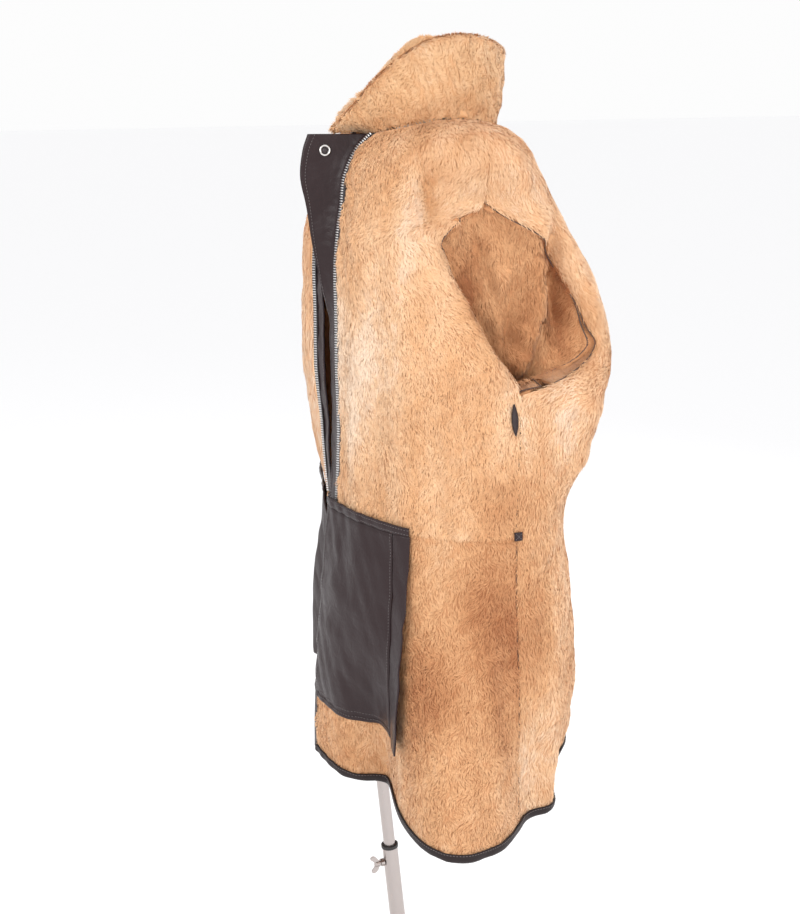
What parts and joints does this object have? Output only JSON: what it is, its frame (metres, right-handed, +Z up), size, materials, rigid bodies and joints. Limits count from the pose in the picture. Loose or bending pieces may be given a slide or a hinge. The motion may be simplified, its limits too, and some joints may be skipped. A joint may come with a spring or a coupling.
{
  "type": "shearling coat on a dress form",
  "caption": "Sheepskin coat shown fur side out, open at the front, with leather bindings, pockets and a metal zip, on a limbless dress form with a leaning pole stand",
  "frame": {"origin": "centre of the base plate's underside, on the floor", "axes": "+Z up; the wearer faces -Y; the wearer's left is +X"},
  "size_m": [0.7002, 0.4728, 1.6213],
  "materials": {
    "shearling": "short curly sheepskin fur, matt",
    "leather": "dark brown-black nappa leather, soft sheen",
    "zip_tape": "woven tape with metal teeth",
    "snap_metal": "nickel-plated snaps",
    "form_cloth": "plain stretched jersey cover",
    "brushed_steel": "satin steel",
    "black_plastic": "moulded bush"
  },
  "bodies": {
    "stand": {"stand_base": "brushed_steel", "base_hub": "brushed_steel", "pole_lower": "brushed_steel", "pole_bush": "black_plastic", "clamp_nut": "brushed_steel"},
    "screw": {"clamp_screw": "brushed_steel"},
    "mast": {"mast": "brushed_steel"},
    "form": {"dress_form": "form_cloth", "back": "shearling", "front_upper_left": "shearling", "front_upper_right": "shearling", "front_skirt_left": "shearling", "front_skirt_right": "shearling", "sleeve_left": "shearling", "sleeve_right": "shearling", "gusset_left": "shearling", "gusset_right": "shearling", "collar": "shearling", "hem_binding": "leather", "edge_band_left": "leather", "edge_band_right": "leather", "front_band_left": "leather", "front_band_right": "leather", "pocket_left": "leather", "pocket_right": "leather", "pocket_mouth_left": "leather", "pocket_mouth_right": "leather", "pocket_strip_left": "leather", "pocket_strip_right": "leather", "underarm_tab_left": "leather", "underarm_tab_right": "leather", "seam_stay_left": "leather", "seam_stay_right": "leather", "zip_tape_left": "zip_tape", "zip_tape_right": "zip_tape", "snap_socket": "snap_metal", "snap_stud_1": "snap_metal", "snap_stud_2": "snap_metal"}
  },
  "joints": [
    {"name": "mast_slide", "type": "slide", "parent": "stand", "child": "mast", "axis": [0, -0.1045, 0.9945], "range_m": [-0.12, 0.08]},
    {"name": "form_swivel", "type": "hinge", "parent": "mast", "child": "form", "pos_m": [0, -0.08948, 0.85131], "axis": [0, -0.1045, 0.9945], "range_deg": [-180, 180]},
    {"name": "screw_turn", "type": "hinge", "parent": "stand", "child": "screw", "pos_m": [0, -0.03658, 0.34808], "axis": [0, -0.9945, -0.1045], "range_deg": [-90, 180]}
  ]
}
